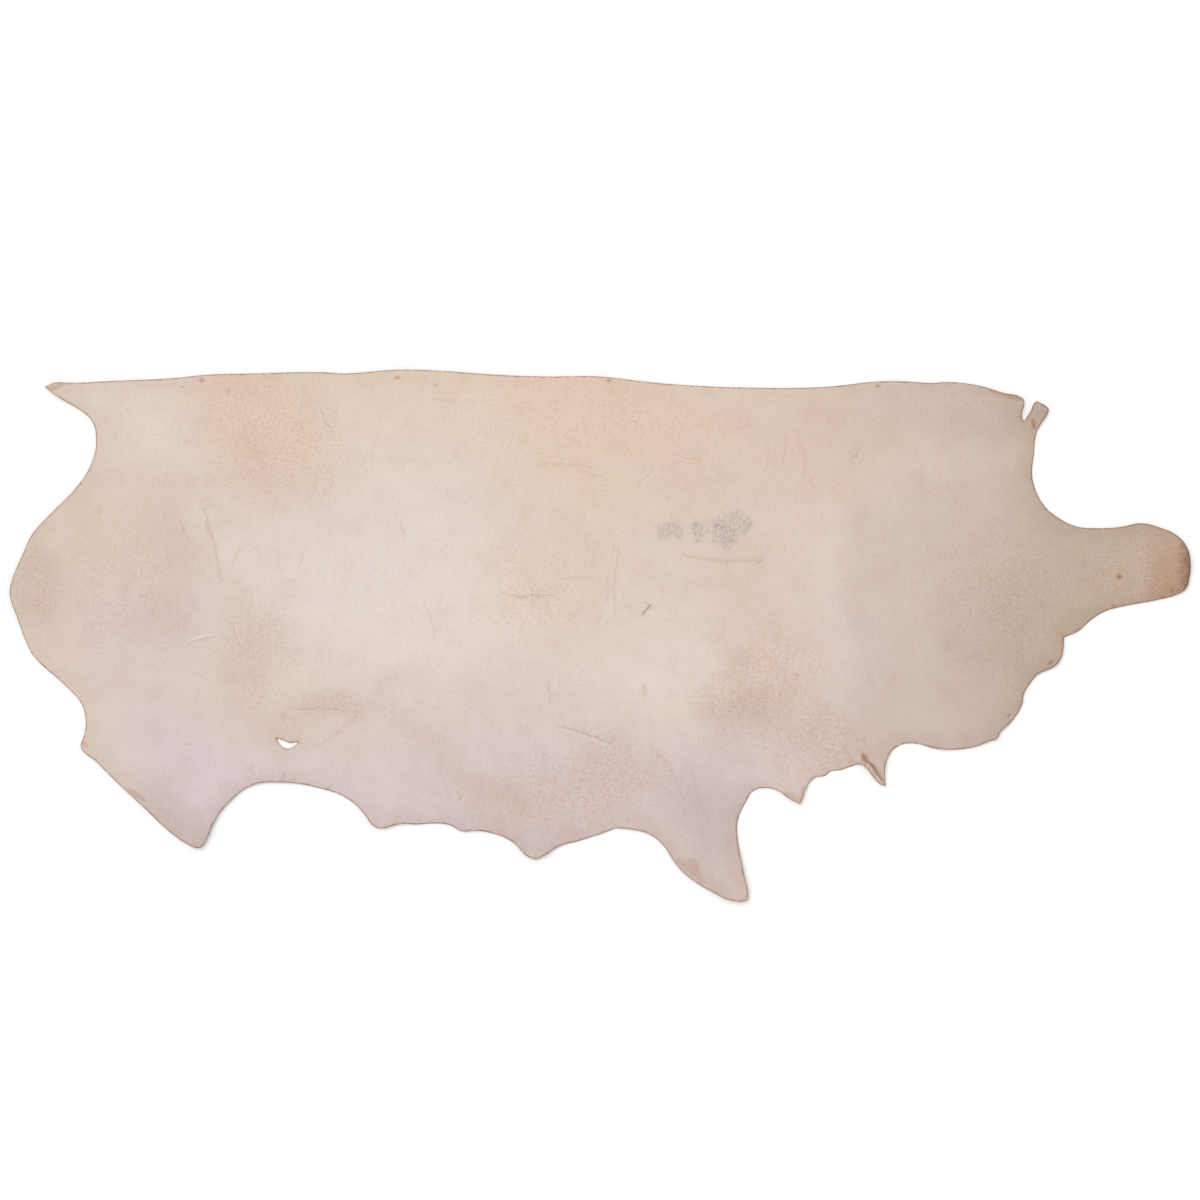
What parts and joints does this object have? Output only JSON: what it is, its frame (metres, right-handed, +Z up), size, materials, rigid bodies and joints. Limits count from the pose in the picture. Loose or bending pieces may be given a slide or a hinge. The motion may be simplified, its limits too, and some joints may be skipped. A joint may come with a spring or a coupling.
{
  "type": "side of split natural leather",
  "caption": "Flat side of natural undyed leather, split down the backbone, with its trimmed neck, head, shank and belly edges.",
  "frame": {"origin": "on the floor under the middle of the side's length and width", "axes": "+X along the back from rump to head, +Y from belly to backbone, +Z up through the thickness, grain side up"},
  "size_m": [2.4778, 1.1164, 0.0124],
  "materials": {
    "natural_leather": "matt undyed grain"
  },
  "bodies": {
    "root": {"leather_side": "natural_leather"}
  },
  "joints": []
}
